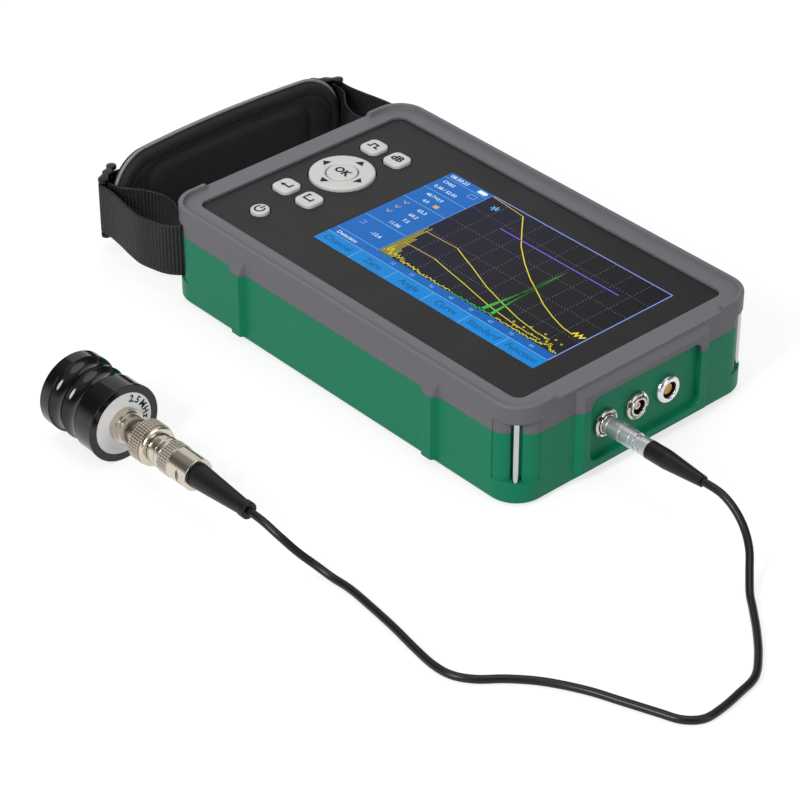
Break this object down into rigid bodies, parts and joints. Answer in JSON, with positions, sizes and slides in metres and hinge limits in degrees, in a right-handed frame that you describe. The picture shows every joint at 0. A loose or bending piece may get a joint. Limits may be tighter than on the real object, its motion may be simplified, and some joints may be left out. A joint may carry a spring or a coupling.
{
  "type": "ultrasonic flaw detector",
  "caption": "Handheld ultrasonic flaw detector with screen, keys and a padded hand strap, lying flat, wired to a round straight-beam probe.",
  "frame": {"origin": "middle of the flat underside of the case, in the plane of the battery door; the rubber feet stand 0.8 mm below it", "axes": "+X along the long side towards the sockets, +Y up the screen, +Z out of the screen"},
  "size_m": [0.3311, 0.2011, 0.0383],
  "materials": {
    "green_plastic": "fine satin texture",
    "grey_plastic": "fine satin texture",
    "gasket_rubber": "matt",
    "panel_film": "satin film",
    "window_glass": "clear cover glass over a lit picture",
    "display_metal": "bare",
    "ribbon_film": "film",
    "key_rubber": "matt light grey",
    "pivot_plastic": "matt",
    "mat_silicone": "silicone",
    "board_laminate": "solder resist",
    "spacer_brass": "turned",
    "screw_steel": "zinc plated",
    "shield_steel": "tinned",
    "battery_wrap": "shrink film",
    "foot_rubber": "matt",
    "nickel": "nickel plate",
    "bright_nickel": "satin chrome plate",
    "insert_amber": "moulded",
    "gold": "gold plate",
    "insulator_white": "fluoropolymer",
    "pad_fabric": "padded synthetic cloth",
    "piping_fabric": "corded edge",
    "webbing_fabric": "woven webbing",
    "buckle_plastic": "moulded",
    "boot_rubber": "matt",
    "cord_jacket": "smooth jacket",
    "label_plastic": "printed disc, left bare",
    "probe_black": "gloss black finish on a turned sleeve",
    "core_filler": "loaded resin",
    "element_ceramic": "fired",
    "wear_ceramic": "polished"
  },
  "bodies": {
    "device": {"lower_case": "green_plastic", "upper_frame": "grey_plastic", "case_gasket": "gasket_rubber", "front_panel": "panel_film", "display_window": "window_glass", "display_module": "display_metal", "display_ribbon": "ribbon_film", "key_mat": "mat_silicone", "key_board": "board_laminate", "board_spacers": "spacer_brass", "main_board": "board_laminate", "board_screws": "screw_steel", "buzzer": "pivot_plastic", "pulser_board": "board_laminate", "pulser_shield": "shield_steel", "battery_pack": "battery_wrap", "battery_door": "green_plastic", "door_screws": "screw_steel", "case_screws": "screw_steel", "rubber_feet": "foot_rubber", "strap_pins": "screw_steel", "coax_sockets": "nickel", "data_socket": "bright_nickel", "data_insert": "insert_amber", "data_pins": "gold", "socket_ring_nuts": "nickel", "socket_back_nuts": "nickel", "socket_insulators": "insulator_white", "socket_contacts": "gold", "strap_pad": "pad_fabric", "pad_piping": "piping_fabric", "strap_webbing": "webbing_fabric", "strap_buckles": "buckle_plastic", "plug_shell": "bright_nickel", "plug_pin": "gold", "plug_collet_nut": "bright_nickel", "plug_boot": "boot_rubber", "probe_cord": "cord_jacket", "bnc_boot": "boot_rubber", "bnc_back_nut": "nickel", "bnc_body": "nickel", "bnc_pin": "gold", "probe_jack": "nickel", "jack_nut": "nickel", "jack_insulator": "insulator_white", "probe_label": "label_plastic", "probe_sleeve": "probe_black", "probe_core": "core_filler", "probe_element": "element_ceramic", "wear_plate": "wear_ceramic"},
    "power_key": {"power_key": "key_rubber"},
    "return_key": {"return_key": "key_rubber"},
    "gate_key": {"gate_key": "key_rubber"},
    "wave_key": {"wave_key": "key_rubber"},
    "gain_key": {"gain_key": "key_rubber"},
    "ok_key": {"ok_key": "key_rubber"},
    "nav_pivot": {"nav_pivot": "pivot_plastic"},
    "nav_ring": {"nav_ring": "key_rubber"},
    "plug_sleeve": {"plug_sleeve": "bright_nickel"},
    "bnc_coupling": {"bnc_coupling": "nickel"}
  },
  "joints": [
    {"name": "power_key_press", "type": "slide", "parent": "device", "child": "power_key", "axis": [0, 0, -1], "range_m": [0, 0.0005], "stiffness_N_per_m": 2500, "springref_m": -0.0002},
    {"name": "return_key_press", "type": "slide", "parent": "device", "child": "return_key", "axis": [0, 0, -1], "range_m": [0, 0.0005], "stiffness_N_per_m": 2500, "springref_m": -0.0002},
    {"name": "gate_key_press", "type": "slide", "parent": "device", "child": "gate_key", "axis": [0, 0, -1], "range_m": [0, 0.0005], "stiffness_N_per_m": 2500, "springref_m": -0.0002},
    {"name": "wave_key_press", "type": "slide", "parent": "device", "child": "wave_key", "axis": [0, 0, -1], "range_m": [0, 0.0005], "stiffness_N_per_m": 2500, "springref_m": -0.0002},
    {"name": "gain_key_press", "type": "slide", "parent": "device", "child": "gain_key", "axis": [0, 0, -1], "range_m": [0, 0.0005], "stiffness_N_per_m": 2500, "springref_m": -0.0002},
    {"name": "ok_key_press", "type": "slide", "parent": "device", "child": "ok_key", "axis": [0, 0, -1], "range_m": [0, 0.0005], "stiffness_N_per_m": 2500, "springref_m": -0.0002},
    {"name": "nav_tilt_left_right", "type": "hinge", "parent": "device", "child": "nav_pivot", "pos_m": [-0.0632, 0.0044, 0.0302], "axis": [0, 1, 0], "range_deg": [-2.5, 2.5], "stiffness_Nm_per_rad": 0.6},
    {"name": "nav_tilt_up_down", "type": "hinge", "parent": "nav_pivot", "child": "nav_ring", "pos_m": [-0.0632, 0.0044, 0.031], "axis": [1, 0, 0], "range_deg": [-2.5, 2.5], "stiffness_Nm_per_rad": 0.6},
    {"name": "plug_sleeve_slide", "type": "slide", "parent": "device", "child": "plug_sleeve", "axis": [1, 0, 0], "range_m": [0, 0.0012], "stiffness_N_per_m": 1500, "springref_m": -0.0006},
    {"name": "bnc_coupling_turn", "type": "hinge", "parent": "device", "child": "bnc_coupling", "pos_m": [-0.004, -0.1275, 0.013], "axis": [1, 0, 0], "range_deg": [0, 90]}
  ]
}
